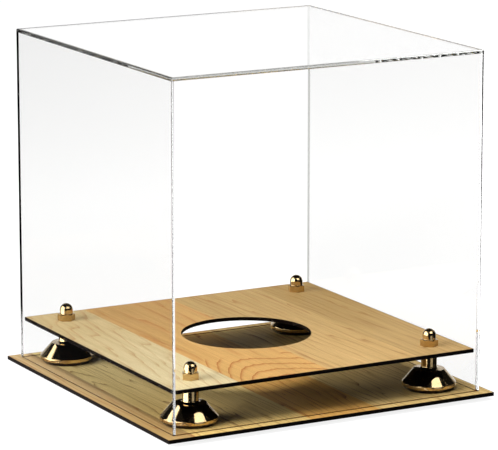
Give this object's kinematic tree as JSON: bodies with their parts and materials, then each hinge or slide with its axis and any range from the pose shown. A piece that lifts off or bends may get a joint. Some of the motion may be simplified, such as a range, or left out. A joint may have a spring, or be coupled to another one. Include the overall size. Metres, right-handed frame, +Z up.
{
  "type": "basketball display case",
  "caption": "Square display case: a clear lift-off cover over a thin wooden base, with a holed platform board held up on turned gold risers and dome-headed nuts.",
  "frame": {"origin": "centre of the footprint at table height, under the bumper feet", "axes": "+Z up; -Y is the front side and +X the right side when facing the front; the case is square, so front and sides are alike"},
  "size_m": [0.3048, 0.3048, 0.2943],
  "materials": {
    "clear_acrylic": "clear, polished",
    "veneered_board": "pale veneer, satin, burnt black edges",
    "polished_gold": "polished gold plate",
    "bolt_steel": "zinc plated",
    "foot_rubber": "matt"
  },
  "bodies": {
    "stand": {"base_board": "veneered_board", "platform_board": "veneered_board", "riser_front_left": "polished_gold", "riser_front_right": "polished_gold", "riser_rear_right": "polished_gold", "riser_rear_left": "polished_gold", "cap_nut_front_left": "polished_gold", "cap_nut_front_right": "polished_gold", "cap_nut_rear_right": "polished_gold", "cap_nut_rear_left": "polished_gold", "bolt_front_left": "bolt_steel", "bolt_front_right": "bolt_steel", "bolt_rear_right": "bolt_steel", "bolt_rear_left": "bolt_steel", "foot_front_left": "foot_rubber", "foot_front_right": "foot_rubber", "foot_rear_right": "foot_rubber", "foot_rear_left": "foot_rubber"},
    "cover": {"cover": "clear_acrylic"}
  },
  "joints": [
    {"name": "cover_lift", "type": "slide", "parent": "stand", "child": "cover", "axis": [0, 0, 1], "range_m": [0, 0.3]}
  ]
}
